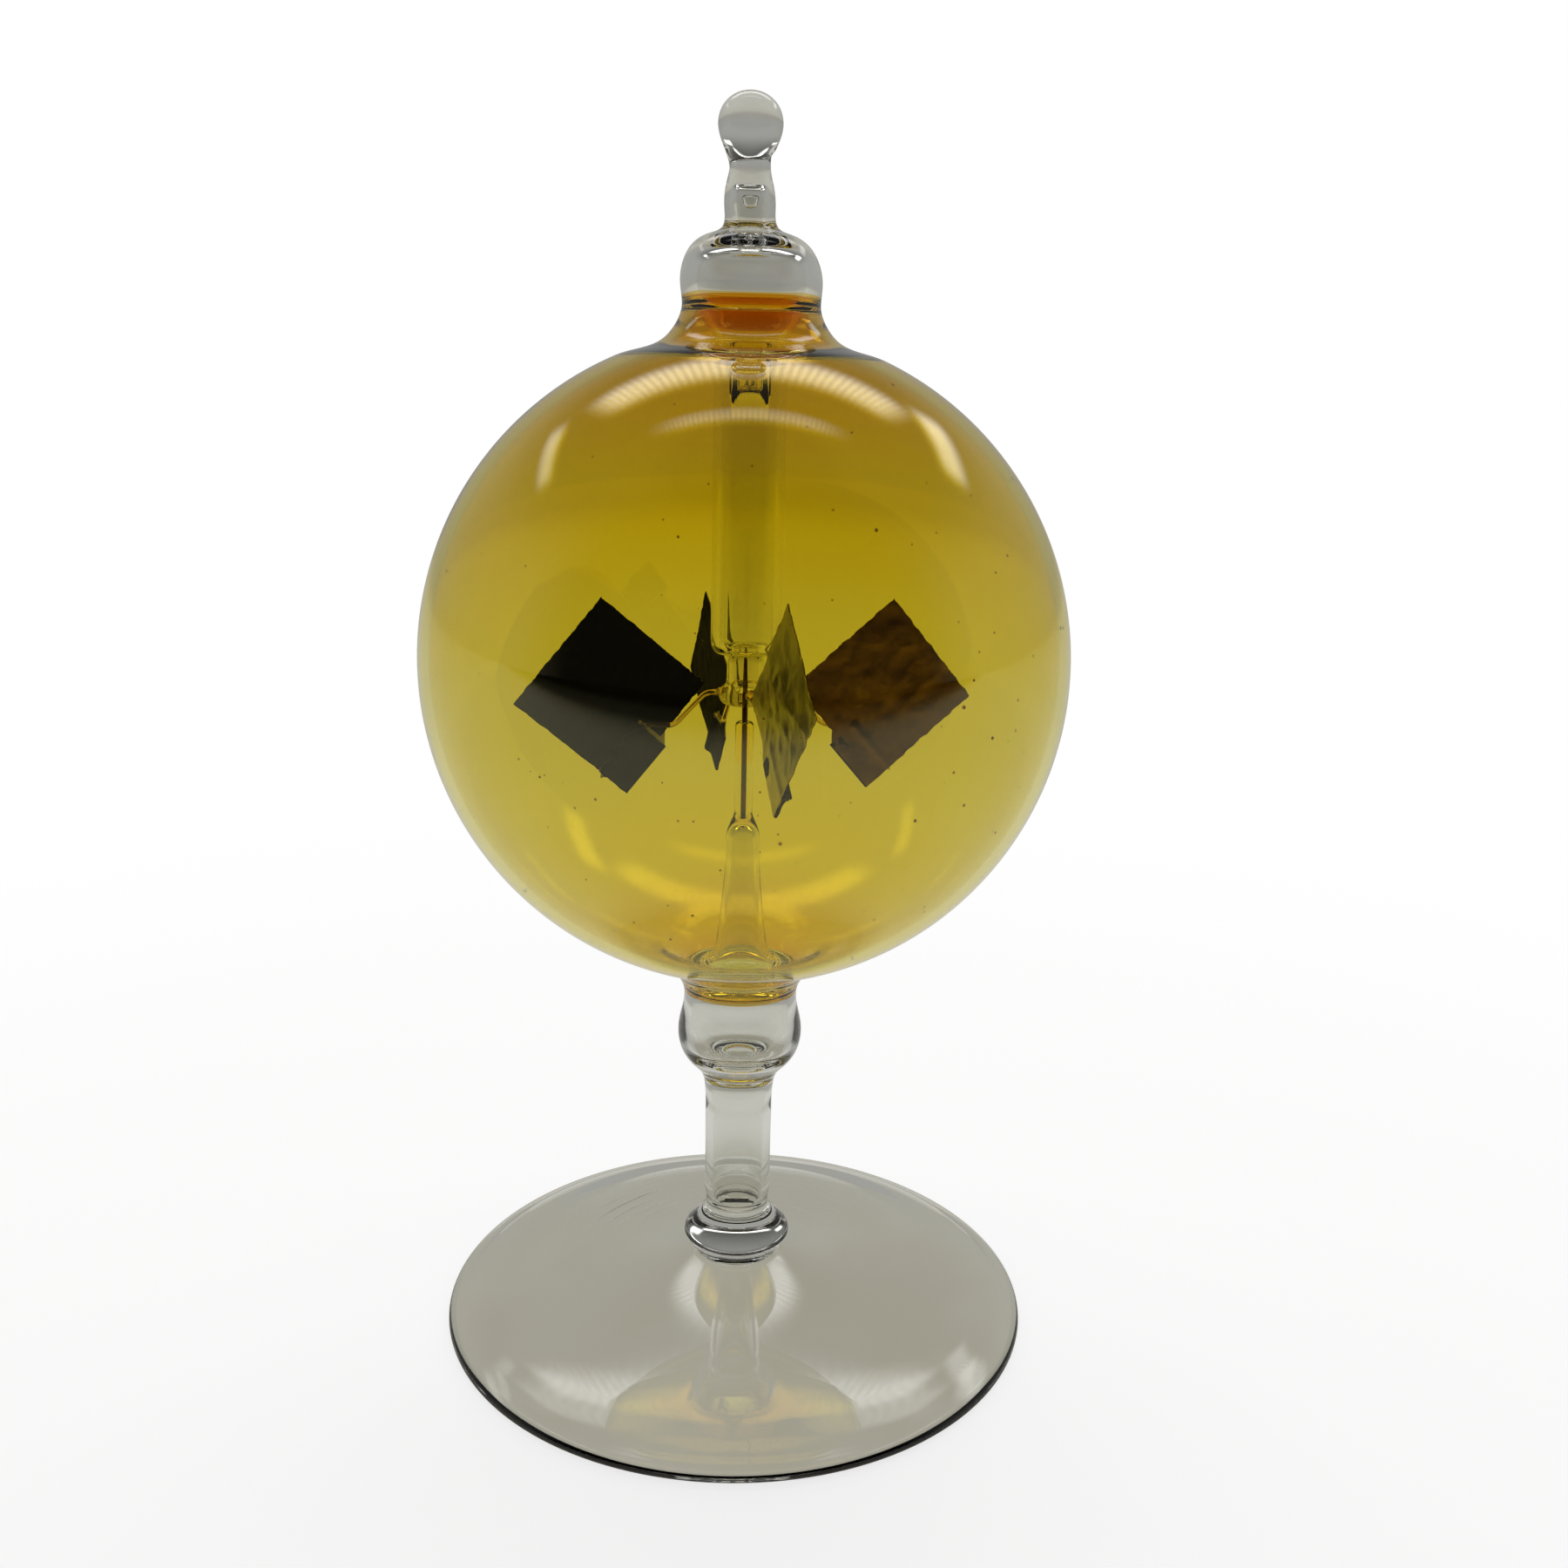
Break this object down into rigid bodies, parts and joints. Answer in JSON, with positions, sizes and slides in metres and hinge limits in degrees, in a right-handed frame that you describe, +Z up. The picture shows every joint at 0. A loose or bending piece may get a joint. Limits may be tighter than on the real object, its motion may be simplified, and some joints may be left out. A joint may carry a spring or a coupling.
{
  "type": "crookes radiometer",
  "caption": "Light mill: sealed amber glass bulb on a clear stem and domed disc foot, with a vaned rotor balanced on a needle inside.",
  "frame": {"origin": "centre of the foot's resting plane, on the axis of the glass", "axes": "+Z up along the axis of the foot, stem, bulb and rotor; -Y towards the front"},
  "size_m": [0.08, 0.08, 0.1552],
  "materials": {
    "clear_glass": "fire-polished clear glass",
    "amber_glass": "amber tinted glass with small brown seeds",
    "guide_glass": "clear glass tube",
    "post_glass": "clear drawn glass",
    "holder_glass": "clear glass capillary",
    "cup_glass": "clear fire-polished glass",
    "hub_glass": "clear fused glass bead",
    "arm_glass": "drawn glass filament",
    "steel": "darkened polished needle steel",
    "bright_foil": "thin creased metal foil, bright",
    "lamp_black": "matt soot coat"
  },
  "bodies": {
    "glass": {"foot": "clear_glass", "stem_bead": "clear_glass", "stem_tube": "clear_glass", "knop": "clear_glass", "globe": "amber_glass", "neck_cap": "clear_glass", "finial_stem": "clear_glass", "finial_ball": "clear_glass", "guide_tube": "guide_glass", "spindle_post": "post_glass", "needle_holder": "holder_glass", "needle": "steel"},
    "rotor": {"bearing_cup": "cup_glass", "hub_ring": "hub_glass", "arm_1": "arm_glass", "arm_2": "arm_glass", "arm_3": "arm_glass", "arm_4": "arm_glass", "vane_foil_1": "bright_foil", "vane_foil_2": "bright_foil", "vane_foil_3": "bright_foil", "vane_foil_4": "bright_foil", "soot_face_1": "lamp_black", "soot_face_2": "lamp_black", "soot_face_3": "lamp_black", "soot_face_4": "lamp_black"}
  },
  "joints": [
    {"name": "rotor_spin", "type": "hinge", "parent": "glass", "child": "rotor", "pos_m": [0, 0, 0.0905], "axis": [0, 0, 1], "continuous": true}
  ]
}
